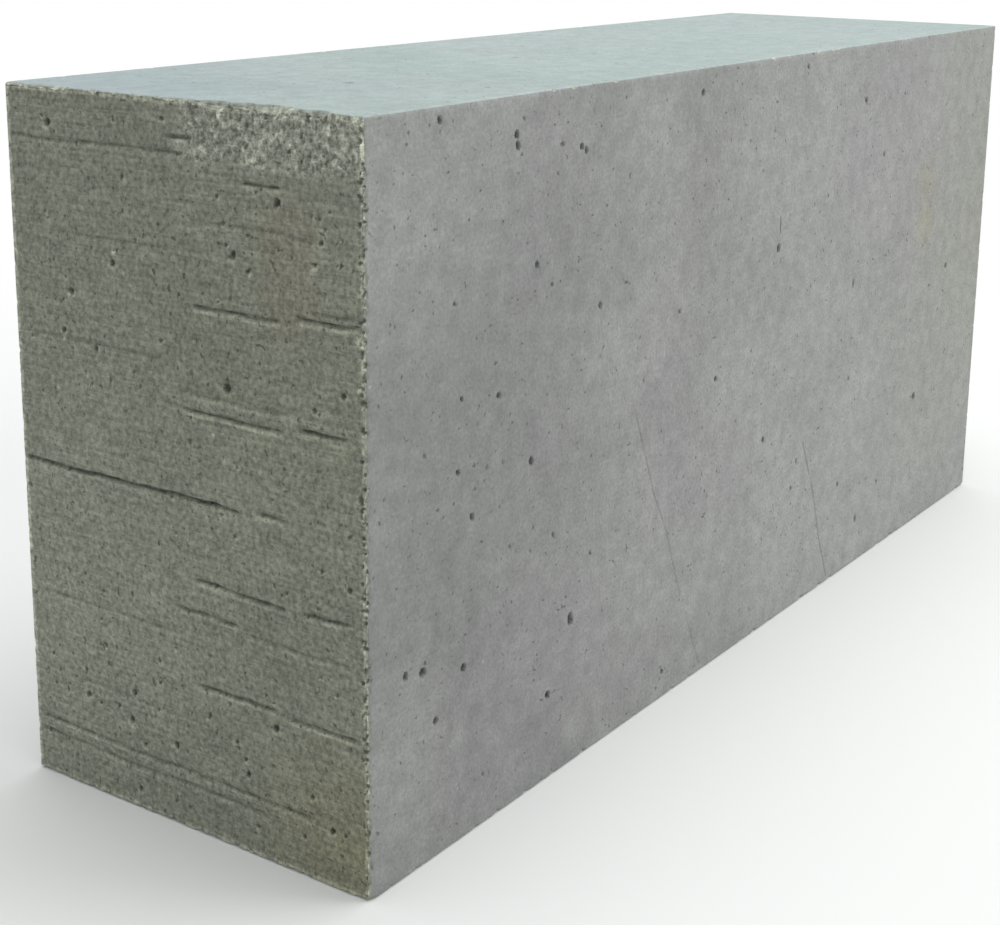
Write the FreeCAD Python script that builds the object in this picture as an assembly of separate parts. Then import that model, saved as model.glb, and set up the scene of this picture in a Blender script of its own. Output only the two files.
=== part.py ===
import FreeCAD, Part

import math
import os

# Fly ash block: one solid piece of foamed fly ash concrete, standing on its long bed face.
#
# Frame, in millimetres: +X runs along the block's length, +Y through its thickness and +Z up.
# The origin is the centre of the bottom bed face, where the block rests.
# The end at -X is the drawn end: the wire that cut it left it rough, and it carries the spall.

# Overall sizes
LENGTH = 600.0  # along X, the length that a course is set out by
THICKNESS = 180.0  # along Y, the thickness of the wall that it builds
HEIGHT = 290.0  # along Z, one course without its joint

# Arrises: the twelve edges, cut sharp and then rubbed a little round by handling
ARRIS_RADIUS = 1.2

# Spall: one shallow shell-shaped flake has broken off the top arris of the drawn end
SPALL_DEPTH = 3.0  # along X, how far it bites into the top bed
SPALL_DROP = 18.0  # along Z, how far it reaches down the end face
SPALL_RUN = 84.0  # along Y, how much of the arris it takes
SPALL_INSET = 44.0  # along Y, from the -Y face to the middle of the flake


def block():
    """The whole block before any wear, with its bottom bed face centred on the origin."""
    corner = FreeCAD.Vector(-LENGTH / 2, -THICKNESS / 2, 0)
    return Part.makeBox(LENGTH, THICKNESS, HEIGHT, corner)


def with_worn_arrises(solid):
    """The block with its twelve sharp edges rounded, which leaves its three overall sizes as they were."""
    return solid.makeFillet(ARRIS_RADIUS, solid.Edges)


def spall():
    """The flake that is missing, as the ball that just cuts out its depth, drop and run.

    The ball's centre stands off the arris by `out` along -X and by `up` along +Z. The ball meets the
    arris half a run either side of its middle, the top bed at SPALL_DEPTH and the end at SPALL_DROP.
    """
    half_run = SPALL_RUN / 2
    out = (half_run**2 - SPALL_DEPTH**2) / (2 * SPALL_DEPTH)
    up = (half_run**2 - SPALL_DROP**2) / (2 * SPALL_DROP)
    radius = math.sqrt(half_run**2 + out**2 + up**2)
    middle_of_arris = FreeCAD.Vector(-LENGTH / 2, -THICKNESS / 2 + SPALL_INSET, HEIGHT)
    return Part.makeSphere(radius, middle_of_arris + FreeCAD.Vector(-out, 0, up))


def main():
    os.makedirs("parts", exist_ok=True)
    fly_ash_block = with_worn_arrises(block()).cut(spall())
    fly_ash_block.exportStep("parts/fly_ash_block.step")
    box = fly_ash_block.optimalBoundingBox(False)  # BoundBox alone takes in more of the ball than the cut
    print(
        f"fly_ash_block: {len(fly_ash_block.Solids)} solid, valid {fly_ash_block.isValid()}, "
        f"{box.XLength:.1f} x {box.YLength:.1f} x {box.ZLength:.1f} mm, "
        f"{fly_ash_block.Volume / 1e6:.3f} litres"
    )


main()
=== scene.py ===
# %% [markdown]
# # A foamed fly ash block
#
# The real block is one piece. Fly ash from a power station, cement, lime and foam are cast as a slurry,
# and the stiff cake is cut with wire before it is cured. So its skin has three finishes:
# long faces cut smooth, ends that the wire dragged through and tore, and beds that were levelled.
#
# This lesson makes the block as one closed mesh, then gives each finish its own material.
# Work on the relief is in millimetres, and the mesh is written in metres.

# %% Load the frame
import math

import bpy
import numpy as np
from mathutils import Matrix, Vector
from mathutils.geometry import delaunay_2d_cdt


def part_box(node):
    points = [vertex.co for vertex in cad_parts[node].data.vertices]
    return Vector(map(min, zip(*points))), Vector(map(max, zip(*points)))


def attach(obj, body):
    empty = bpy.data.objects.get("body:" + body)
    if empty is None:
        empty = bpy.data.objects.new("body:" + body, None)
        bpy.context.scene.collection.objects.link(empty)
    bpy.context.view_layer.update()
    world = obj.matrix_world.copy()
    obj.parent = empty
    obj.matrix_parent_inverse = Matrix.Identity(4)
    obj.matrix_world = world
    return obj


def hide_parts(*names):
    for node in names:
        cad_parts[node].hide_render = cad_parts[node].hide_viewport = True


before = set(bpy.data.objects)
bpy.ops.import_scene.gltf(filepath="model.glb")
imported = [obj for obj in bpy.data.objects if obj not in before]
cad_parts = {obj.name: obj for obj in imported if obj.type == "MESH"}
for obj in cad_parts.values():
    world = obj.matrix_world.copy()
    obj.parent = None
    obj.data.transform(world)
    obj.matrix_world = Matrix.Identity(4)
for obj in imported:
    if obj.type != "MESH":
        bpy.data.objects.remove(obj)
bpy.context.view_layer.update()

NODE = "fly_ash_block"
MM = 0.001  # one millimetre in Blender's metres
low_corner, high_corner = (np.array(corner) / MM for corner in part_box(NODE))
length, thickness, height = high_corner - low_corner

# %% [markdown]
# ## The camera
#
# The block stands on its long bed, and we look at its drawn end and one long face from a little above.
# The near corner is under a metre away, so the far end looks much smaller. A short distance and a
# medium lens give that. A camera is placed by aiming it: a point to look at, two angles and a distance.
# Its own axes are then built from those, which is easier to follow than three rotations.

# %% Camera
CAMERA_AZIMUTH = math.radians(-55.16)  # 0 would look along +Y
CAMERA_ELEVATION = math.radians(13.09)
CAMERA_ROLL = math.radians(0.59)
CAMERA_DISTANCE = 0.8296
CAMERA_AIM = Vector((-0.0908, 0, 0.1720))

back = Vector(
    (
        math.sin(CAMERA_AZIMUTH) * math.cos(CAMERA_ELEVATION),
        -math.cos(CAMERA_AZIMUTH) * math.cos(CAMERA_ELEVATION),
        math.sin(CAMERA_ELEVATION),
    )
)
right = Vector((0, 0, 1)).cross(back).normalized()
up = back.cross(right)
turn = Matrix.Rotation(CAMERA_ROLL, 3, back)

camera = bpy.data.objects.new("camera", bpy.data.cameras.new("camera"))
bpy.context.collection.objects.link(camera)
camera.data.sensor_width = 36
camera.data.lens = 63.64
camera.data.shift_y = -0.15
camera.data.clip_start = 0.01
camera.matrix_world = Matrix.Translation(CAMERA_AIM + back * CAMERA_DISTANCE) @ (
    turn @ Matrix((right, up, back)).transposed()
).to_4x4()
bpy.context.scene.camera = camera
print("camera stands at", [round(value, 3) for value in camera.matrix_world.translation])

# %% [markdown]
# ## The skin as a lattice
#
# A block is six flat faces, but a grid fine enough for a pore would need millions of triangles.
# So we lay one fine lattice over the whole skin, work out the relief on all of it, and at the end
# keep only the lattice points that the relief needs. Every lattice point has a whole-number address
# in x, y and z, so a point on an arris has the same address on both its faces, and the mesh closes.

# %% Lattice
CELL_MM = 12.0  # the coarsest cell of the finished mesh
FINEST = 16  # lattice steps in one coarse cell, so the finest detail is 0.75 mm
sizes = high_corner - low_corner
steps = FINEST * np.round(sizes / CELL_MM).astype(int)
pitch = sizes / steps

# Each face: the axis it stands across, which end of that axis it is at, and its own two axes.
LAYOUT = {
    "drawn_end": (0, 0, 1, 2),
    "far_end": (0, 1, 1, 2),
    "front": (1, 0, 0, 2),
    "back": (1, 1, 0, 2),
    "bottom_bed": (2, 0, 0, 1),
    "top_bed": (2, 1, 0, 1),
}


class Face:
    """One face of the block: lattice addresses, flat places in mm, and the relief drawn on it."""

    def __init__(self, across, side, along_u, along_v):
        self.across, self.side, self.axes = across, side, (along_u, along_v)
        shape = (steps[along_u] + 1, steps[along_v] + 1)
        self.address = np.zeros((*shape, 3), int)
        self.address[..., along_u], self.address[..., along_v] = np.indices(shape)
        self.address[..., across] = side * steps[across]
        self.flat = low_corner + self.address * pitch
        self.inward = np.zeros(3)
        self.inward[across] = 1 - 2 * side
        # relief depth, painted shade in recesses, how torn each place is, and real lime grains with painted
        # highlights
        self.depth, self.hollow, self.torn, self.lime_and_highlight = (np.zeros(shape) for _ in range(4))

    def window(self, place, reach):
        """The part of the lattice within reach of a place in mm, and that part's offsets from it."""
        cuts = []
        for axis in self.axes:
            first = (place[axis] - reach - low_corner[axis]) / pitch[axis]
            last = (place[axis] + reach - low_corner[axis]) / pitch[axis]
            cuts.append(slice(max(0, math.floor(first)), max(0, math.ceil(last) + 1)))
        part = tuple(cuts)
        return part, self.flat[part] - place


faces = {name: Face(*layout) for name, layout in LAYOUT.items()}
print("lattice points:", {name: face.depth.size for name, face in faces.items()})

# %% [markdown]
# ## Noise in real sizes
#
# Foamed concrete is uneven at every scale, from the slow wave of the cut to grains of ash. Value noise
# gives that: random numbers at the corners of a 3D grid, and smooth steps between them. It takes the
# grid's size in millimetres along x, y and z, so a streak is just a grid that is long in one direction.

# %% Noise
dice = np.random.default_rng(29)
RANDOM_VALUES = dice.uniform(-1, 1, 4096)


def noise(places, grid_mm, seed):
    """Smooth noise from -1 to 1 at places in mm, on a grid of this size."""
    scaled = (places + 5000.0) / np.broadcast_to(grid_mm, 3)
    whole = np.floor(scaled).astype(np.int64)
    share = scaled - whole
    share = share * share * (3 - 2 * share)
    total = 0
    for corner in np.ndindex(2, 2, 2):
        x, y, z = (whole[..., axis] + corner[axis] for axis in range(3))
        value = RANDOM_VALUES[(x * 73856093 ^ y * 19349663 ^ z * 83492791 ^ seed * 2654435761) % 4096]
        weight = 1
        for axis in range(3):
            weight = weight * (share[..., axis] if corner[axis] else 1 - share[..., axis])
        total = total + weight * value
    return total


def ease(low, high, value):
    """0 below low, 1 above high and a smooth step between."""
    share = np.clip((value - low) / (high - low), 0, 1)
    return share * share * (3 - 2 * share)


def from_arris(face):
    """How far each lattice point of a face is from its nearest arris, in mm."""
    gaps = [
        np.minimum(face.flat[..., axis] - low_corner[axis], high_corner[axis] - face.flat[..., axis])
        for axis in face.axes
    ]
    return np.minimum(*gaps)


# %% [markdown]
# ## Waves and streaks
#
# The long faces and the beds are almost flat: the cutting wire bows a little, so they have slow waves
# of a few tenths of a millimetre. The ends are different. The wire was dragged across them, and
# left fine level streaks over the whole face. Both fade out at the arrises, where two faces meet.

# %% Waves and streaks
WAVE_MM = {"front": 0.35, "back": 0.35, "top_bed": 0.3, "bottom_bed": 0.4, "drawn_end": 0.5, "far_end": 0.5}
STREAK_MM = 0.6  # how deep the streaks on the two ends are
GRIT_MM = 0.45  # how far the coarsest grains stand out there

for name, face in faces.items():
    fade = ease(0, 8, from_arris(face))
    face.depth += fade * WAVE_MM[name] * (0.5 + 0.5 * noise(face.flat, 95, 1))
    if name.endswith("end"):
        streaks = noise(face.flat, (50, 70, 5.5), 2) + 0.6 * noise(face.flat, (50, 38, 2.6), 3)
        patches = 0.45 + 0.55 * ease(-0.5, 0.6, noise(face.flat, 60, 4))
        face.depth += fade * STREAK_MM * patches * (0.5 + 0.3 * streaks)
        grit = np.abs(noise(face.flat, (9, 7, 3.4), 12)) + 0.5 * np.abs(noise(face.flat, (5, 4, 1.9), 13))
        face.depth += ease(0, 2, from_arris(face)) * GRIT_MM * grit

# %% [markdown]
# ## Drag marks
#
# About every 40 mm up the drawn end the wire caught and jumped. Each catch left a level mark: a thin
# undercut, darkened with painted shade, and just below it a lip of smeared paste that stands a little
# proud and carries a painted highlight, as if lit from above.
# Most marks break off about 35 mm from the front arris, where the wire let go for a moment, so a mark
# is given in pieces: its height on the block, where the piece starts and stops across the face, how
# deep the undercut is, and how strong the lip.

# %% Drag marks
# height, start and stop from the front arris, depth of the undercut, strength of the lip: all in mm
DRAG_MARKS = (
    (270, 81, 180, 0.6, 0.30),
    (276, 80, 96, 1.8, 0.80),
    (262, 37, 58, 1.5, 0.70),
    (215, 38, 84, 1.0, 1.00),
    (217, 1, 33, 1.2, 0.90),
    (220, 2, 28, 0.6, 0.30),
    (174, 38, 90, 1.0, 1.00),
    (176, 8, 33, 1.4, 0.60),
    (181, 4, 98, 0.2, 0.50),
    (138, 60, 180, 2.2, 0.35),
    (140, 37, 54, 1.0, 0.90),
    (106, 38, 88, 1.1, 0.60),
    (107, 6, 31, 1.3, 0.80),
    (93, 62, 98, 0.9, 0.50),
    (91, 8, 60, 0.4, 0.40),
    (64, 44, 88, 1.0, 0.90),
    (63, 4, 40, 1.0, 0.90),
    (25, 28, 178, 0.7, 0.40),
    (19, 50, 178, 0.6, 0.30),
    (234, 96, 170, 0.3, 0.15),
    (192, 100, 172, 0.3, 0.20),
    (82, 100, 174, 0.4, 0.25),
    (48, 96, 172, 0.3, 0.20),
    (246, 20, 75, 0.3, 0.30),
)
UNDERCUT_HALF_MM, LIP_BELOW_MM, LIP_HALF_MM, LIP_PROUD_MM = 0.9, 1.6, 1.0, 0.7


def drag_mark(face, level, start, stop, deep, lip):
    """Cuts one undercut into an end and raises its lip, wandering a little up and down."""
    across = face.flat[..., 1] - low_corner[1]
    wander = 1.1 * noise(face.flat * (0, 1, 0) + (0, 0, level), (50, 34, 50), 5)
    wander += 0.4 * noise(face.flat * (0, 1, 0) + (0, 0, level), (50, 7, 50), 6)
    above = face.flat[..., 2] - level - wander
    ends = ease(start, start + 4, across) * (1 - ease(stop - 4, stop, across))
    ragged = (0.75 + 0.25 * noise(face.flat, (50, 6, 3), 7)) * ends * ease(0, 2, from_arris(face))
    undercut = np.clip(1.2 - np.abs(above) / UNDERCUT_HALF_MM, 0, 1) * ragged
    raised = lip * np.clip(1.2 - np.abs(above + LIP_BELOW_MM) / LIP_HALF_MM, 0, 1) * ragged
    face.depth = np.maximum(face.depth + deep * undercut - LIP_PROUD_MM * raised, 0)
    # painted shade in the undercut, and a painted highlight on the lip below it
    face.hollow = np.maximum(face.hollow, min(1.0, 0.3 + 0.6 * deep) * undercut)
    face.lime_and_highlight = np.maximum(face.lime_and_highlight, raised)


for mark in DRAG_MARKS:
    drag_mark(faces["drawn_end"], *mark)

FAR_MARK_SPACING_MM = 39
for level in np.arange(22, height - 10, FAR_MARK_SPACING_MM):
    start, stop = dice.uniform(4, 60), dice.uniform(110, 176)
    drag_mark(faces["far_end"], level + dice.uniform(-5, 5), start, stop, dice.uniform(0.4, 1.2), 0.6)
print(len(DRAG_MARKS), "pieces of drag mark on the drawn end")

# %% [markdown]
# ## Pores
#
# The foam leaves closed bubbles, and where the cut opened one there is a round pit with a sharp rim.
# Most are under 2 mm across, and a few on the long face, mostly towards the drawn end, are bigger.
# The large ones are placed one by one, and the rest are scattered from a seeded random number generator,
# so that every run gives the same block. The floor of a pit is darker, because light hardly gets in.

# %% Pores
# on the front: from the drawn end, height, width, stretch along z, depth, in mm
FRONT_PORES = (
    (90, 275, 2.8, 1.3, 2.6),
    (91, 271, 3.2, 1.2, 3.0),
    (136, 266, 2.8, 1.0, 2.5),
    (139, 264, 2.6, 1.1, 2.5),
    (134, 66, 3.6, 1.6, 3.0),
    (506, 80, 4.2, 1.3, 3.0),
    (317, 197, 3.2, 1.5, 2.5),
    (318, 208, 1.3, 7.0, 1.6),
    (42, 285, 3.0, 1.2, 2.0),
    (105, 223, 2.6, 1.2, 2.0),
    (54, 152, 2.6, 1.0, 1.8),
    (63, 132, 2.4, 1.5, 1.8),
    (235, 279, 3.0, 1.0, 2.0),
    (413, 261, 3.2, 0.9, 2.0),
    (118, 38, 3.4, 1.0, 2.4),
    (58, 72, 3.4, 1.0, 2.4),
    (22, 82, 2.6, 1.4, 2.0),
    (257, 144, 2.6, 1.0, 1.8),
    (103, 144, 3.0, 1.3, 2.4),
    (56, 180, 2.2, 1.0, 1.6),
    (80, 176, 2.6, 1.2, 1.8),
    (51, 217, 2.2, 0.9, 1.4),
    (120, 108, 1.8, 1.4, 1.4),
    (149, 91, 1.8, 1.0, 1.4),
    (409, 164, 1.8, 3.4, 1.8),
    (220, 183, 2.0, 1.0, 1.5),
    (349, 80, 2.2, 1.6, 1.6),
    (344, 67, 2.4, 1.0, 1.6),
    (341, 283, 2.6, 1.2, 1.8),
    (240, 110, 1.6, 1.0, 1.2),
    (410, 111, 2.0, 1.2, 1.4),
)
# on the drawn end: from the front arris, height, width, stretch along z, depth, in mm
END_PORES = (
    (157, 276, 3.1, 1.3, 2.2),
    (124, 225, 2.5, 1.2, 2.0),
    (148, 211, 2.8, 1.2, 2.0),
    (153, 195, 2.5, 1.3, 2.0),
    (135, 190, 2.3, 1.2, 1.9),
    (40, 257, 2.7, 1.5, 2.4),
    (148, 42, 2.7, 1.2, 1.9),
    (121, 50, 2.3, 1.3, 1.9),
    (123, 38, 2.7, 1.4, 2.2),
    (80, 52, 2.5, 1.3, 1.9),
    (98, 34, 2.5, 1.2, 1.9),
    (116, 29, 2.0, 1.2, 1.5),
    (60, 33, 2.2, 1.3, 1.7),
    (18, 23, 2.5, 1.4, 2.0),
    (20, 245, 2.2, 0.9, 1.4),
    (23, 237, 2.2, 0.8, 1.4),
    (66, 247, 1.8, 1.1, 1.2),
    (65, 239, 2.0, 0.9, 1.3),
    (11, 238, 1.8, 1.0, 1.2),
    (18, 250, 1.8, 1.0, 1.2),
)
SCATTERED_PORES = {"front": 54, "back": 80, "drawn_end": 90, "far_end": 90, "top_bed": 24, "bottom_bed": 50}


def pore(face, place, width, stretch, deep):
    """Opens one bubble: steep at the rim, round at the bottom, a little out of round."""
    reach = 0.75 * width * max(1, stretch)
    part, offset = face.window(place, reach)
    u, v = (offset[..., axis] for axis in face.axes)
    radius = width / 2 * (1 + 0.32 * noise(face.flat[part], width * 0.55, 8))
    away = np.hypot(u, v / stretch) / radius
    bowl = np.clip(1 - away**3, 0, 1)
    face.depth[part] = np.maximum(face.depth[part], face.depth[part] * (bowl == 0) + deep * bowl)
    darkness = min(1.0, 0.35 * width)  # small pits are open to the light
    if face.across == 0:  # in an end a pit gets full painted shade, and a painted highlight on its lower rim, which faces up to the light
        darkness = 1.0
        lit_rim = np.clip(1 - np.abs(away - 1.5) / 0.5, 0, 1) * ease(0.2, -0.8, v / stretch / radius)
        face.lime_and_highlight[part] = np.maximum(face.lime_and_highlight[part], 0.7 * lit_rim)
    face.hollow[part] = np.maximum(face.hollow[part], darkness * np.clip(1.5 * bowl, 0, 1))


for from_end, level, width, stretch, deep in FRONT_PORES:
    place = np.array((low_corner[0] + from_end, low_corner[1], level))
    pore(faces["front"], place, width, stretch, deep)
for from_front, level, width, stretch, deep in END_PORES:
    place = np.array((low_corner[0], low_corner[1] + from_front, level))
    pore(faces["drawn_end"], place, width, stretch, deep)

SMALLEST_PORE_MM, CLEAR_OF_ARRIS_MM = 1.3, 5.0
for name, count in SCATTERED_PORES.items():
    face = faces[name]
    for _ in range(count):
        place = dice.uniform(low_corner + CLEAR_OF_ARRIS_MM, high_corner - CLEAR_OF_ARRIS_MM)
        place[face.across] = (low_corner, high_corner)[face.side][face.across]
        width = SMALLEST_PORE_MM + dice.exponential(0.45)
        pore(face, place, width, dice.uniform(0.8, 1.5), 0.55 * width)

# the front arris of the drawn end is lined with pits where grains came away with the wire
ARRIS_PITS, ARRIS_BAND_MM = 120, 3.2
for _ in range(ARRIS_PITS):
    from_front, level = ARRIS_BAND_MM * dice.uniform(0.2, 1) ** 1.5, dice.uniform(3, height - 3)
    place = low_corner + (0, from_front, level)
    pore(faces["drawn_end"], place, dice.uniform(1.3, 2.1), dice.uniform(0.7, 1.3), 0.9)

# a few grains of lime show white on the drawn end: from the front arris, height and width in mm
LIME_GRAINS = (
    (123, 229, 1.8),
    (149, 209, 2.2),
    (23, 235, 2.4),
    (118, 222, 1.4),
    (74, 166, 1.6),
    (2, 75, 3.0),
    (3, 212, 2.8),
    (3, 195, 2.4),
    (3, 229, 2.0),
)
for from_front, level, width in LIME_GRAINS:
    part, offset = faces["drawn_end"].window(low_corner + (0, from_front, level), width)
    spot = np.clip(1.6 - np.linalg.norm(offset, axis=-1) / (width / 2), 0, 1)
    faces["drawn_end"].lime_and_highlight[part] = np.maximum(faces["drawn_end"].lime_and_highlight[part], 1.4 * spot)
print("pores:", len(FRONT_PORES) + len(END_PORES) + sum(SCATTERED_PORES.values()) + ARRIS_PITS)

# %% [markdown]
# ## Scratches
#
# Two long scuffs cross the front where another block was dragged past it. Each is a shallow line
# through a few points that ends near the floor. The first starts higher up and is the fainter one.

# %% Scratches
# how strong, then its points: from the drawn end and height, in mm
SCRATCHES = (
    (0.65, ((174, 170), (185, 142), (202, 103), (214, 82), (226, 53), (250, 4))),
    (1.0, ((356, 88), (372, 56), (382, 28), (394, 3))),
)
SCRATCH_WIDTH_MM, SCRATCH_DEPTH_MM = 1.3, 0.4


def scratch(face, strength, start, stop):
    """Presses a straight V between two places on the front, broken where the contact was light."""
    start, stop = np.array(start, float), np.array(stop, float)
    middle = np.array((low_corner[0] + (start + stop)[0] / 2, low_corner[1], (start + stop)[1] / 2))
    part, _ = face.window(middle, np.hypot(*(stop - start)) / 2 + 2)
    places = np.stack((face.flat[part][..., 0] - low_corner[0], face.flat[part][..., 2]), -1)
    run = stop - start
    share = np.clip(((places - start) @ run) / (run @ run), 0, 1)
    away = np.linalg.norm(places - start - share[..., None] * run, axis=-1)
    groove = np.clip(1 - away / (SCRATCH_WIDTH_MM / 2), 0, 1)
    contact = noise(face.flat[part], (9, 50, 9), 14) + strength - 0.5
    groove = groove * strength * ease(-0.7, 0.5 * strength, contact)
    face.depth[part] += SCRATCH_DEPTH_MM * groove
    # painted shade in the groove
    face.hollow[part] = np.maximum(face.hollow[part], 0.7 * groove)


for strength, line in SCRATCHES:
    for start, stop in zip(line, line[1:]):
        scratch(faces["front"], strength, start, stop)

# %% [markdown]
# ## Bites: the spall and the chipped arrises
#
# A brittle edge breaks in shell-shaped flakes. We can make each break as a ball held against the
# block: every skin point that falls inside the ball is pushed straight out to the ball's surface.
# Both faces of an arris meet on the same ball, so the edge stays closed without any special care.
# The big spall on the top arris of the drawn end is the same ball that cuts the solid, and the
# hundreds of crumbs along all twelve arrises are small ones. Broken foam is rough, so each bitten
# place is marked as torn and gets extra noise.

# %% Rounded arrises, then bites
ARRIS_RADIUS_MM = 1.2
SPALL_DEPTH, SPALL_DROP, SPALL_RUN, SPALL_INSET = 3.0, 18.0, 84.0, 44.0  # as on the solid
half_run = SPALL_RUN / 2
spall_out = (half_run**2 - SPALL_DEPTH**2) / (2 * SPALL_DEPTH)
spall_up = (half_run**2 - SPALL_DROP**2) / (2 * SPALL_DROP)
spall_radius = math.sqrt(half_run**2 + spall_out**2 + spall_up**2)
spall_middle = np.array((low_corner[0], low_corner[1] + SPALL_INSET, high_corner[2]))

# Every bite: centre and radius in mm
bites = [(spall_middle + (-spall_out, 0, spall_up), spall_radius)]


def bite_arris(middle, outward, radius, deep):
    """Holds a ball against an arris so that it takes off a chip about this deep."""
    direction = np.array(outward, float) / np.linalg.norm(outward)
    bites.append((middle + direction * (radius - deep), radius))


# the broken crest of the spall, where the flake also took the top bed's edge
for along, radius, deep in ((46, 10, 4.6), (57, 8, 3.2), (37, 8, 3.0), (70, 9, 2.4), (24, 10, 2.2)):
    middle = np.array((low_corner[0] + SPALL_DEPTH * 0.7, low_corner[1] + along, high_corner[2]))
    bite_arris(middle, (-1, dice.uniform(-0.3, 0.3), 1.1), radius, deep)

# Crumbs: for each arris its fixed axes, how many crumbs, and the largest depth in mm
ARRISES = (
    # the drawn end: its front and top arrises are ragged, its back one is nearly straight
    ((0, 0), (1, 0), 150, 1.0),
    ((0, 0), (1, 1), 40, 0.5),
    ((0, 0), (2, 1), 110, 1.1),
    ((0, 0), (2, 0), 60, 1.0),
    # the far end, less worn
    ((0, 1), (1, 0), 40, 0.6),
    ((0, 1), (1, 1), 40, 0.8),
    ((0, 1), (2, 1), 40, 0.8),
    ((0, 1), (2, 0), 40, 0.9),
    # the four long arrises are crisp, with a few knocks
    ((1, 0), (2, 1), 26, 0.9),
    ((1, 0), (2, 0), 60, 1.3),
    ((1, 1), (2, 1), 40, 1.2),
    ((1, 1), (2, 0), 60, 1.4),
)
for first, second, count, deepest in ARRISES:
    free_axis = 3 - first[0] - second[0]
    for _ in range(count):
        middle, outward = np.zeros(3), dice.uniform(-0.35, 0.35, 3)
        for axis, side in (first, second):
            middle[axis] = (low_corner, high_corner)[side][axis]
            outward[axis] = (2 * side - 1) * dice.uniform(0.5, 1.2)
        middle[free_axis] = dice.uniform(low_corner[free_axis], high_corner[free_axis])
        deep = deepest * dice.uniform(0.25, 1) ** 1.5 + 0.35
        bite_arris(middle, outward, dice.uniform(0.8, 3.2) + deep, deep)
print(len(bites), "bites")


def rounded(places, radius):
    """Rolls the sharp arrises of the box over to this radius. Everywhere else the skin stays put."""
    core = np.clip(places, low_corner + radius, high_corner - radius)
    out = places - core
    return core + out * (radius / np.maximum(np.linalg.norm(out, axis=-1, keepdims=True), 1e-9))


BITE_RAGGED_MM = 0.3


def bitten(face, skin):
    """Pushes the skin out of every ball that reaches this face, and marks those places as torn."""
    plane = (low_corner, high_corner)[face.side][face.across]
    for centre, radius in bites:
        if abs(centre[face.across] - plane) >= radius:
            continue
        part, _ = face.window(centre, radius)
        if 0 in face.depth[part].shape:
            continue
        away = skin[part] - centre
        gap = np.linalg.norm(away, axis=-1)
        ragged = radius + min(0.02 * radius, BITE_RAGGED_MM) * noise(skin[part], 2.2, 9)
        bite = np.clip(ragged - gap, 0, None)
        direction = away / np.maximum(gap, 1e-9)[..., None]
        skin[part] += direction * bite[..., None]
        face.torn[part] = np.maximum(face.torn[part], ease(0.0, 0.5, bite))


# round the spall the skin is crumbled too, down to here and as far along as the flake goes
CRUMBLED_DOWN_TO_MM = 267.0
end = faces["drawn_end"]
down = end.flat[..., 2] - CRUMBLED_DOWN_TO_MM - 4 * noise(end.flat, 11, 15)
inside = SPALL_INSET + half_run + 2 - (end.flat[..., 1] - low_corner[1]) + 3 * noise(end.flat, 8, 16)
end.torn = 0.85 * ease(-2, 3, down) * ease(-1, 4, inside)

for name, face in faces.items():
    skin = rounded(face.flat, ARRIS_RADIUS_MM)
    skin = skin + face.depth[..., None] * face.inward
    bitten(face, skin)
    lumps = noise(face.flat, 2.4, 10) + 0.9 * noise(face.flat, 1.5, 11)
    inner = face.torn * ease(0.0, 2.0, from_arris(face))
    skin = skin + (inner * (0.4 + 0.6 * lumps))[..., None] * face.inward
    face.skin = np.clip(skin, low_corner, high_corner)
    # painted shade in the dips between broken lumps, and painted highlights on the lumps that stand out
    face.hollow = np.maximum(face.hollow, 0.8 * inner * ease(0.4, 1.1, lumps))
    face.lime_and_highlight = np.maximum(face.lime_and_highlight, 0.7 * inner * ease(-0.1, -0.9, lumps))

# %% [markdown]
# ## Keep only the points that the relief needs
#
# Now every face has its relief on the full lattice. We start from coarse cells and look at each one:
# how far does the true skin stray from a flat patch through the cell's four corners? If it is more than
# a small tolerance, the cell is split into four, and so on down to the lattice itself. Flat areas keep
# 12 mm cells while pores and chips get 0.75 mm ones. This is a quadtree.

# %% Quadtree
TOLERANCE_MM = {
    "drawn_end": 0.15,
    "front": 0.10,
    "top_bed": 0.12,
    "far_end": 0.20,
    "back": 0.18,
    "bottom_bed": 0.25,
}
MARKS_COUNT_AS_MM = 0.4  # a full step from light to dark matters as much as this much relief


def straying(skin, cell):
    """For each cell of this many lattice steps, how far the skin strays from the cell's flat patch."""
    corners = skin[::cell, ::cell]
    a, b, c, d = corners[:-1, :-1], corners[1:, :-1], corners[:-1, 1:], corners[1:, 1:]
    worst = np.zeros(a.shape[:2])
    for i, j in np.ndindex(cell + 1, cell + 1):
        u, v = i / cell, j / cell
        patch = a * (1 - u) * (1 - v) + b * u * (1 - v) + c * (1 - u) * v + d * u * v
        true = skin[i : skin.shape[0] - cell + i : cell, j : skin.shape[1] - cell + j : cell]
        worst = np.maximum(worst, ((true - patch) ** 2).sum(-1))
    return np.sqrt(worst)


def needed(face, tolerance):
    """Which lattice points of a face to keep, as a mask."""
    marks = MARKS_COUNT_AS_MM * np.stack((face.hollow, face.lime_and_highlight), -1)
    skin_and_marks = np.concatenate((face.skin, marks), -1)
    keep = np.zeros(face.depth.shape, bool)
    keep[::FINEST, ::FINEST] = True
    cell, open_cells = FINEST, np.ones([(n - 1) // FINEST for n in keep.shape], bool)
    while cell > 1:
        split = open_cells & (straying(skin_and_marks, cell) > tolerance)
        half = cell // 2
        for i, j in np.argwhere(split) * cell:
            keep[i : i + cell + 1 : half, j : j + cell + 1 : half] = True
        open_cells = split.repeat(2, 0).repeat(2, 1)
        cell = half
    return keep


kept_addresses = []
for name, face in faces.items():
    kept = face.address[needed(face, TOLERANCE_MM[name])]
    kept_addresses.append(kept)
    print(f"{name}: keeps {len(kept)} of {face.depth.size} points")

all_kept = np.unique(np.concatenate(kept_addresses), axis=0)

# %% [markdown]
# ## One closed mesh
#
# Each face takes every kept point that lies on it, its neighbours' arris points among them. Blender's
# Delaunay routine joins them into triangles that are as even as possible. A point on an arris belongs
# to two faces, so its place is found once, from the first face that has it, and used by both.

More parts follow.
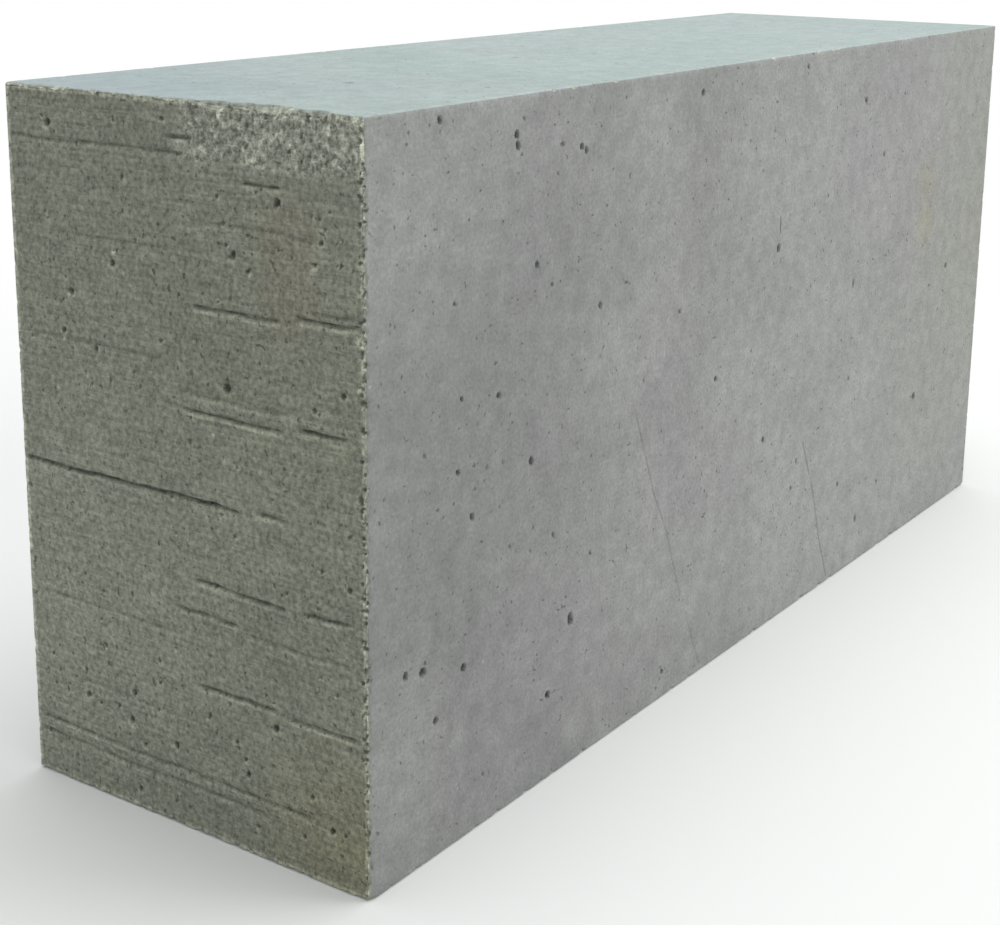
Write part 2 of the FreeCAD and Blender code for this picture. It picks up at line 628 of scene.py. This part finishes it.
# %% Mesh
numbers = {}  # a lattice address and its vertex number
vertices, hollows, torns, lime_and_highlights = [], [], [], []
triangles, triangle_faces = [], []
for face_number, face in enumerate(faces.values()):
    edge_value = face.side * steps[face.across]
    own = all_kept[all_kept[:, face.across] == edge_value]
    spots = tuple(own[:, axis] for axis in face.axes)
    for address, place, hollow, torn, lime_and_highlight in zip(
        map(tuple, own.tolist()), face.skin[spots], face.hollow[spots], face.torn[spots], face.lime_and_highlight[spots]
    ):
        if address not in numbers:
            numbers[address] = len(vertices)
            vertices.append(place * MM)
            hollows.append(hollow)
            torns.append(torn)
            lime_and_highlights.append(lime_and_highlight)
    own_numbers = [numbers[tuple(address)] for address in own.tolist()]
    points = [Vector(pair) for pair in (own[:, list(face.axes)] * pitch[list(face.axes)]).tolist()]
    _, _, cut, origins, _, _ = delaunay_2d_cdt(points, [], [], 0, 1e-5)
    # Delaunay gives its triangles anticlockwise in u, v: turn them over where u x v points inward
    u_axis, v_axis = np.eye(3)[list(face.axes)]
    flip = np.dot(np.cross(u_axis, v_axis), face.inward) > 0
    for corners in cut:
        loop = [own_numbers[origins[corner][0]] for corner in corners]
        triangles.append(loop[::-1] if flip else loop)
        triangle_faces.append(face_number)

mesh = bpy.data.meshes.new("fly_ash_block_skin")
mesh.from_pydata([tuple(vertex) for vertex in vertices], [], triangles)
# painted shade in recesses, and lime grains with painted highlights, go to the shaders as point attributes
for name, values in (("hollow", hollows), ("torn", torns), ("lime_and_highlight", lime_and_highlights)):
    mesh.attributes.new(name, "FLOAT", "POINT").data.foreach_set("value", values)
mesh.shade_smooth()
mesh.set_sharp_from_angle(angle=math.radians(50))
block = bpy.data.objects.new("fly_ash_block_skin", mesh)
bpy.context.collection.objects.link(block)
print(f"mesh: {len(mesh.vertices)} vertices, {len(mesh.polygons)} triangles")

# %% [markdown]
# ## A map of the skin
#
# A picture of the finish can be baked only if every place on the skin has its own place in a square.
# The six faces are rectangles, so we lay them out like a cutting plan: the four long ones in a column
# and the two ends beside them, with a small gap between. Nothing is stretched.

# %% Cutting plan
GAP_MM = 8.0
PLAN = {  # each face's lower left corner on the sheet
    "front": (0, 0),
    "back": (0, height + GAP_MM),
    "top_bed": (0, 2 * (height + GAP_MM)),
    "bottom_bed": (0, 2 * (height + GAP_MM) + thickness + GAP_MM),
    "drawn_end": (length + GAP_MM, 0),
    "far_end": (length + GAP_MM, height + GAP_MM),
}
sheet_mm = 2 * (height + thickness + 2 * GAP_MM)
plan_corner = np.array([PLAN[name] for name in faces]) + GAP_MM / 2
plan_axes = np.array([face.axes for face in faces.values()])

addresses = np.array(list(numbers))
loops = np.array(triangles)
owners = np.array(triangle_faces)
sheet_places = np.stack(
    [
        addresses[loops, plan_axes[owners][:, [axis]]] * pitch[plan_axes[owners][:, [axis]]]
        + plan_corner[owners][:, [axis]]
        for axis in (0, 1)
    ],
    -1,
)
mesh.uv_layers.new(name="OFBake").data.foreach_set("uv", (sheet_places / sheet_mm).ravel())

# %% [markdown]
# ## Colours and nodes
#
# A given colour is an sRGB value, and a shader wants linear light, so one function turns the
# hex code over. Another adds a node, sets it and links it.

# %% Helpers for materials


def colour(hex_code):
    """An sRGB hex code as linear red, green, blue and alpha."""
    parts = [int(hex_code[i : i + 2], 16) / 255 for i in (1, 3, 5)]
    return [p / 12.92 if p <= 0.04045 else ((p + 0.055) / 1.055) ** 2.4 for p in parts] + [1.0]


def add(tree, kind, inputs=(), **settings):
    """Adds a node. A socket among the inputs is linked, and a plain value is set."""
    made = tree.nodes.new("ShaderNode" + kind)
    for setting, value in settings.items():
        setattr(made, setting, value)
    for name, value in dict(inputs).items():
        if isinstance(value, bpy.types.NodeSocket):
            tree.links.new(value, made.inputs[name])
        else:
            made.inputs[name].default_value = value
    return made


# %% [markdown]
# ## Fly ash concrete in three finishes
#
# The stuff is the same all through: grey cement paste full of glassy ash spheres, with dark specks of
# unburnt coal and pale specks of lime. It is matt, because the foam leaves no closed surface, so its
# roughness is about 0.9 and its IOR that of a mineral, 1.5. What differs is how each face was made.
#
# - **wire-cut**, the long faces: smooth, neutral grey with a faint mauve and green drift, fine specks.
# - **wire-dragged**, the ends: rough, olive grey, with grains standing proud in level streaks.
# - **levelled**, the beds: the wet foam rose and was struck off, so a pale, fine, slightly green skin.
#
# Every pattern is noise or cells on object coordinates, and its scale is one over a real size in metres.

# %% Concrete
BROKEN_COLOUR = "#a6a89a"  # the same inside on every face

# how big each pattern's features are, in metres
CLOUD = 0.070
DRIFT = 0.160
BLOTCH = 0.008
STREAK_LONG, STREAK_TALL = 0.030, 0.0012
COAL = 0.0026
LIME = 0.026
LUMP = 0.0020
RUB = 0.0028
STAIN_UNEVEN = 0.03  # how far a stain's border wanders
DRAWN_END_SHADE_REACH, DRAWN_END_SHADE_WANDER = 0.34, 0.08  # how far the painted shade reaches from the drawn end, and its uneven border
RUBBED_FROM, RUBBED_TO = 0.0040, 0.0016  # from an arris: where the rubbed band starts, and is full

# how the patterns act
NOISE_LOW, NOISE_HIGH = 0.3, 0.7  # the part of noise's 0 to 1 that nearly all of it lies in
COAL_RARE, COAL_CORE = 0.71, 0.77  # noise above these is the rim and the middle of a speck
RECESS_SHADE_LIGHT = 0.34  # painted shade: how light the floor of a deep pit is, beside the open skin
# real lime grains and painted highlights: the value that counts as full, and how much lighter that is
LIME_AND_HIGHLIGHT_FULL, LIME_AND_HIGHLIGHT_LIGHT = 1.5, 2.3
LUMP_HEIGHT = 2.0  # beside the grains' height of 1


def concrete(
    name,
    dark,
    light,
    warm,
    cool,
    grain_mm,
    grain_strength,
    grain_bump,
    mottle,
    streaks,
    rubbed,
    pitted,
    drawn_end_shade,
    stains,
):
    """One finish of the same concrete, from four colours and how strong each of its patterns is."""
    material = bpy.data.materials.new(name)
    material.use_nodes = True
    tree = material.node_tree
    shader = tree.nodes["Principled BSDF"]
    place = add(tree, "TexCoord").outputs["Object"]

    # broad clouds, where the mix was wetter or drier
    clouds = add(tree, "TexNoise", {"Vector": place, "Scale": 1 / CLOUD, "Detail": 4.0, "Roughness": 0.6})
    body = add(tree, "ValToRGB", {0: clouds.outputs[0]})
    body.color_ramp.elements[0].position, body.color_ramp.elements[0].color = 0.32, colour(dark)
    body.color_ramp.elements[1].position, body.color_ramp.elements[1].color = 0.68, colour(light)

    # a slow drift of hue
    drift = add(tree, "TexNoise", {"Vector": place, "Scale": 1 / DRIFT, "Detail": 2.0})
    tint = add(tree, "ValToRGB", {0: drift.outputs[0]})
    tint.color_ramp.elements[0].position, tint.color_ramp.elements[0].color = 0.38, colour(warm)
    tint.color_ramp.elements[1].position, tint.color_ramp.elements[1].color = 0.62, colour(cool)
    tinted = add(tree, "Mix", {0: 0.5, 6: body.outputs[0], 7: tint.outputs[0]}, data_type="RGBA")

    # stains and pale patches, with soft uneven borders: place from the drawn end, the front and the
    # floor in mm, radius in mm, colour, strength
    for stain_place, stain_radius, stain_colour, stain_strength in stains:
        stain_middle = [(low_corner[axis] + stain_place[axis]) * MM for axis in range(3)]
        away = add(tree, "VectorMath", {0: place, 1: stain_middle}, operation="DISTANCE")
        away = add(
            tree,
            "Math",
            {0: clouds.outputs[0], 1: -STAIN_UNEVEN, 2: away.outputs["Value"]},
            operation="MULTIPLY_ADD",
        )
        stain_reach, half_uneven = stain_radius * MM, STAIN_UNEVEN / 2
        stain_mask = add(
            tree,
            "MapRange",
            {0: away.outputs[0], 1: stain_reach - half_uneven, 2: -half_uneven, 3: 0.0, 4: stain_strength},
            interpolation_type="SMOOTHSTEP",
        )
        tinted = add(
            tree,
            "Mix",
            {0: stain_mask.outputs[0], 6: tinted.outputs[2], 7: colour(stain_colour)},
            data_type="RGBA",
        )

    # where it is broken, every face shows the same inside
    torn = add(tree, "Attribute", attribute_name="torn").outputs["Fac"]
    tinted = add(tree, "Mix", {0: torn, 6: tinted.outputs[2], 7: colour(BROKEN_COLOUR)}, data_type="RGBA")

    # grains of ash and sand
    grain = add(
        tree, "TexNoise", {"Vector": place, "Scale": 1000 / grain_mm, "Detail": 3.0, "Roughness": 0.7}
    )
    grain_light = add(
        tree,
        "MapRange",
        {0: grain.outputs[0], 1: NOISE_LOW, 2: NOISE_HIGH, 3: 1 - grain_strength, 4: 1 + grain_strength},
    )
    # a coarser unevenness, so that the grain doesn't look like film noise
    blotch = add(tree, "TexNoise", {"Vector": place, "Scale": 1 / BLOTCH, "Detail": 4.0})
    blotch_light = add(
        tree,
        "MapRange",
        {0: blotch.outputs[0], 1: NOISE_LOW, 2: NOISE_HIGH, 3: 1 - mottle, 4: 1 + mottle},
    )

    # level streaks of the wire, long and thin
    stretched = add(tree, "Mapping", {0: place, 3: (1 / STREAK_LONG, 1 / STREAK_LONG, 1 / STREAK_TALL)})
    streak = add(tree, "TexNoise", {"Vector": stretched.outputs[0], "Scale": 1.0, "Detail": 3.0})
    streak_light = add(
        tree,
        "MapRange",
        {0: streak.outputs[0], 1: NOISE_LOW, 2: NOISE_HIGH, 3: 1 - streaks, 4: 1 + streaks},
    )
    shades = grain_light.outputs[0]
    for other in (blotch_light.outputs[0], streak_light.outputs[0]):
        shades = add(tree, "Math", {0: shades, 1: other}, operation="MULTIPLY").outputs[0]

    # unburnt coal: dark specks under 1.5 mm, and lime: pale ones, fewer still
    coal = add(tree, "TexNoise", {"Vector": place, "Scale": 1 / COAL, "Detail": 1.0})
    coal_mask = add(
        tree,
        "MapRange",
        {0: coal.outputs[0], 1: COAL_RARE - pitted, 2: COAL_CORE - pitted, 3: 0.0, 4: 0.5},
    )
    lime = add(tree, "TexVoronoi", {"Vector": place, "Scale": 1 / LIME, "Randomness": 1.0})
    lime_mask = add(tree, "MapRange", {0: lime.outputs["Distance"], 1: 0.035, 2: 0.02, 3: 0.0, 4: 0.35})

    # painted shade: a little darker towards the drawn end
    split = add(tree, "SeparateXYZ", {0: place})
    drawn_end_shade_from = float(low_corner[0]) * MM
    wander = add(
        tree,
        "MapRange",
        {0: clouds.outputs[0], 1: NOISE_LOW, 2: NOISE_HIGH, 3: -DRAWN_END_SHADE_WANDER, 4: DRAWN_END_SHADE_WANDER},
    )
    along = add(tree, "Math", {0: split.outputs[0], 1: wander.outputs[0]}, operation="ADD")
    drawn_end_shade_light = add(
        tree,
        "MapRange",
        {0: along.outputs[0], 1: drawn_end_shade_from, 2: drawn_end_shade_from + DRAWN_END_SHADE_REACH, 3: 1 - drawn_end_shade, 4: 1.0},
    )
    shades = add(tree, "Math", {0: shades, 1: drawn_end_shade_light.outputs[0]}, operation="MULTIPLY").outputs[0]

    # relief that the mesh knows about: painted shade in pits, undercuts, grooves and broken dips,
    # and real lime grains together with painted highlights on lips, rims and lumps
    hollow = add(tree, "Attribute", attribute_name="hollow").outputs["Fac"]
    lime_and_highlight = add(tree, "Attribute", attribute_name="lime_and_highlight").outputs["Fac"]

    # broken foam is paler and more mottled than the cut skin, in small lumps
    lumps = add(tree, "TexNoise", {"Vector": place, "Scale": 1 / LUMP, "Detail": 3.0, "Roughness": 0.7})
    lump_light = add(tree, "MapRange", {0: lumps.outputs[0], 1: 0.34, 2: 0.66, 3: 0.80, 4: 1.40})

    # how far a place is from the nearest arris: the middle one of its three gaps to the box
    gaps = []
    for axis in range(3):
        middle_of_box = float(low_corner[axis] + high_corner[axis]) / 2 * MM
        centred = add(tree, "Math", {0: split.outputs[axis], 1: middle_of_box}, operation="SUBTRACT")
        spread = add(tree, "Math", {0: centred.outputs[0]}, operation="ABSOLUTE")
        half_size = float(sizes[axis]) / 2 * MM
        to_side = add(tree, "Math", {0: half_size, 1: spread.outputs[0]}, operation="SUBTRACT")
        gaps.append(to_side.outputs[0])
    smaller = add(tree, "Math", {0: gaps[0], 1: gaps[1]}, operation="MINIMUM").outputs[0]
    larger = add(tree, "Math", {0: gaps[0], 1: gaps[1]}, operation="MAXIMUM").outputs[0]
    other = add(tree, "Math", {0: larger, 1: gaps[2]}, operation="MINIMUM").outputs[0]
    gap = add(tree, "Math", {0: smaller, 1: other}, operation="MAXIMUM").outputs[0]
    uneven = add(tree, "TexNoise", {"Vector": place, "Scale": 1 / RUB, "Detail": 2.0})
    worn = add(tree, "MapRange", {0: gap, 1: RUBBED_FROM, 2: RUBBED_TO, 3: 0.0, 4: 1.0})
    worn = add(tree, "Math", {0: worn.outputs[0], 1: uneven.outputs[0]}, operation="MULTIPLY")
    worn = add(tree, "MapRange", {0: worn.outputs[0], 1: 0.3, 2: 0.58, 3: 1.0, 4: 1 + rubbed})

    torn_light = add(tree, "Mix", {0: torn, 2: 1.0, 3: lump_light.outputs[0]}, data_type="FLOAT")
    hollow_light = add(tree, "MapRange", {0: hollow, 1: 0.0, 2: 1.0, 3: 1.0, 4: RECESS_SHADE_LIGHT})
    coal_light = add(tree, "Math", {0: 1.0, 1: coal_mask.outputs[0]}, operation="SUBTRACT")
    lime_light = add(tree, "Math", {0: 1.0, 1: lime_mask.outputs[0]}, operation="ADD")
    lime_and_highlight_light = add(tree, "MapRange", {0: lime_and_highlight, 1: 0.0, 2: LIME_AND_HIGHLIGHT_FULL, 3: 1.0, 4: LIME_AND_HIGHLIGHT_LIGHT})
    for other in (torn_light, hollow_light, lime_and_highlight_light, coal_light, lime_light, worn):
        shades = add(tree, "Math", {0: shades, 1: other.outputs[0]}, operation="MULTIPLY").outputs[0]
    final = add(tree, "VectorMath", {0: tinted.outputs[2], "Scale": shades}, operation="SCALE")
    tree.links.new(final.outputs[0], shader.inputs["Base Color"])

    # matt, with the smooth paste between grains a shade less so
    rough = add(tree, "MapRange", {0: blotch.outputs[0], 1: NOISE_LOW, 2: NOISE_HIGH, 3: 0.84, 4: 0.97})
    tree.links.new(rough.outputs[0], shader.inputs["Roughness"])
    shader.inputs["IOR"].default_value = 1.5
    shader.inputs["Specular IOR Level"].default_value = 0.35

    # bump for what is finer than the mesh: grains, streaks and the lumps of broken places
    heights = add(
        tree,
        "Math",
        {0: streak.outputs[0], 1: 4 * streaks, 2: grain.outputs[0]},
        operation="MULTIPLY_ADD",
    )
    torn_heights = add(tree, "Math", {0: lumps.outputs[0], 1: torn}, operation="MULTIPLY")
    heights = add(
        tree,
        "Math",
        {0: torn_heights.outputs[0], 1: LUMP_HEIGHT, 2: heights.outputs[0]},
        operation="MULTIPLY_ADD",
    )
    bump = add(tree, "Bump", {"Height": heights.outputs[0], "Distance": grain_bump * MM, "Strength": 1.0})
    tree.links.new(bump.outputs[0], shader.inputs["Normal"])
    print("made", name)
    return material


wire_cut = concrete(
    "wire_cut_fly_ash_concrete",
    dark="#919290",
    light="#a1a29f",
    warm="#9b999a",
    cool="#9b9d98",
    grain_mm=1.8,
    grain_strength=0.15,
    grain_bump=0.5,
    mottle=0.11,
    streaks=0.02,
    rubbed=0.06,
    pitted=0,
    drawn_end_shade=0.20,
    stains=(
        ((25, 0, 270), 90, "#b0b2af", 0.50),
        # painted shade: the darker patch at mid-height on the long face near the drawn end
        ((70, 0, 150), 110, "#858684", 0.35),
        ((590, 0, 170), 190, "#949489", 0.50),
        ((300, 0, 190), 120, "#969a90", 0.30),
        ((504, 0, 206), 20, "#a09678", 0.35),
        ((505, 0, 182), 20, "#a09678", 0.35),
        ((57, 0, 44), 14, "#b4b6b0", 0.40),
        ((134, 0, 14), 14, "#b4b6b0", 0.40),
        ((430, 0, 12), 14, "#b4b6b0", 0.30),
    ),
)
wire_dragged = concrete(
    "wire_dragged_fly_ash_concrete",
    dark="#828476",
    light="#8f9183",
    warm="#898a7d",
    cool="#898b7c",
    grain_mm=2.0,
    grain_strength=0.40,
    grain_bump=1.5,
    mottle=0.08,
    streaks=0.15,
    rubbed=0.85,
    pitted=0.04,
    drawn_end_shade=0,
    stains=(
        ((0, 36, 245), 18, "#8c7565", 0.20),
        ((0, 38, 222), 20, "#8c7565", 0.20),
        ((0, 8, 14), 60, "#83805f", 0.45),
        ((0, 160, 80), 130, "#9a9c8e", 0.60),
    ),
)
levelled = concrete(
    "levelled_fly_ash_concrete",
    dark="#a0adaa",
    light="#abb7b4",
    warm="#a9b3b3",
    cool="#a5b3ae",
    grain_mm=1.8,
    grain_strength=0.10,
    grain_bump=0.3,
    mottle=0.09,
    streaks=0,
    rubbed=0.10,
    pitted=0,
    drawn_end_shade=0.05,
    stains=(((20, 150, 290), 150, "#9ea9ad", 0.50),),
)

finish_of = {
    "drawn_end": wire_dragged,
    "far_end": wire_dragged,
    "front": wire_cut,
    "back": wire_cut,
    "top_bed": levelled,
    "bottom_bed": levelled,
}
finishes = [wire_cut, wire_dragged, levelled]
for finish in finishes:
    mesh.materials.append(finish)
slot_numbers = np.array([finishes.index(finish_of[name]) for name in faces])
mesh.polygons.foreach_set("material_index", slot_numbers[owners].astype(np.int32))
mesh.update()

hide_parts(NODE)
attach(block, "root")

# %% [markdown]
# ## Floor and light
#
# The block stands on a plain pale floor under soft light, as under an open sky: most of it comes from
# above, some from the long face's side and least from the drawn end's. A large lamp gives soft
# shadows. The world is white only where the camera looks straight at it, which makes the background
# white without putting more light on the block.

# %% Floor
FLOOR_SIDE = 40.0
FLOOR_BELOW = 0.0002  # metres under the block, so that the two faces don't flicker
SHADOW_TO, WHITE_FROM = 0.42, 1.0  # metres from the origin: the floor shows as it is, then fades to white
floor_mesh = bpy.data.meshes.new("floor")
half_floor = FLOOR_SIDE / 2
floor_corners = [(x * half_floor, y * half_floor, 0) for x, y in ((-1, -1), (1, -1), (1, 1), (-1, 1))]
floor_mesh.from_pydata(floor_corners, [], [(0, 1, 2, 3)])
floor = bpy.data.objects.new("floor", floor_mesh)
bpy.context.collection.objects.link(floor)
floor.location.z = low_corner[2] * MM - FLOOR_BELOW
floor_paint = bpy.data.materials.new("pale_floor_paint")
floor_paint.use_nodes = True
floor_shader = floor_paint.node_tree.nodes["Principled BSDF"]
floor_shader.inputs["Base Color"].default_value = colour("#f4f4f2")
floor_shader.inputs["Roughness"].default_value = 0.9
# far from the block the camera sees plain white instead, so that no horizon shows
tree = floor_paint.node_tree
rays = add(tree, "LightPath")
seen = rays.outputs["Is Camera Ray"]
for ray in ("Is Glossy Ray", "Is Transmission Ray"):
    seen = add(tree, "Math", {0: seen, 1: rays.outputs[ray]}, operation="MAXIMUM").outputs[0]
distance = add(tree, "VectorMath", {0: add(tree, "TexCoord").outputs["Object"]}, operation="LENGTH")
far = add(
    tree,
    "MapRange",
    {0: distance.outputs["Value"], 1: SHADOW_TO, 2: WHITE_FROM},
    interpolation_type="SMOOTHSTEP",
)
far = add(tree, "Math", {0: far.outputs[0], 1: seen}, operation="MULTIPLY")
plain_white = add(tree, "Emission", {"Color": (1, 1, 1, 1), "Strength": 1.0})
floor_mix = add(tree, "MixShader", {0: far.outputs[0], 1: floor_shader.outputs[0], 2: plain_white.outputs[0]})
tree.links.new(floor_mix.outputs[0], tree.nodes["Material Output"].inputs["Surface"])
floor_mesh.materials.append(floor_paint)

# %% Light
world = bpy.data.worlds.new("soft_sky")
bpy.context.scene.world = world
world.use_nodes = True
sky = world.node_tree
sky.nodes.clear()
rays = add(sky, "LightPath")
seen = rays.outputs["Is Camera Ray"]
for ray in ("Is Glossy Ray", "Is Transmission Ray"):
    seen = add(sky, "Math", {0: seen, 1: rays.outputs[ray]}, operation="MAXIMUM").outputs[0]
skylight = add(sky, "Background", {"Color": colour("#f2f6f8"), "Strength": 0.62})
white = add(sky, "Background", {"Color": (1, 1, 1, 1), "Strength": 1.0})
both = add(sky, "MixShader", {0: seen, 1: skylight.outputs[0], 2: white.outputs[0]})
add(sky, "OutputWorld", {"Surface": both.outputs[0]})


def soft_lamp(name, place, aim, side, power):
    """A large square lamp at a place in metres, facing a point."""
    lamp = bpy.data.objects.new(name, bpy.data.lights.new(name, "AREA"))
    bpy.context.collection.objects.link(lamp)
    lamp.data.size = side
    lamp.data.energy = power
    lamp.location = place
    lamp.rotation_euler = (Vector(aim) - Vector(place)).to_track_quat("-Z", "Y").to_euler()
    return lamp


soft_lamp("overhead", (0.3, -0.2, 2.6), (0, 0, 0.2), 2.4, 42)
soft_lamp("long_face_side", (1.6, -2.4, 1.2), (0.1, 0, 0.15), 1.6, 22)

scene = bpy.context.scene
scene.view_settings.view_transform = "Standard"
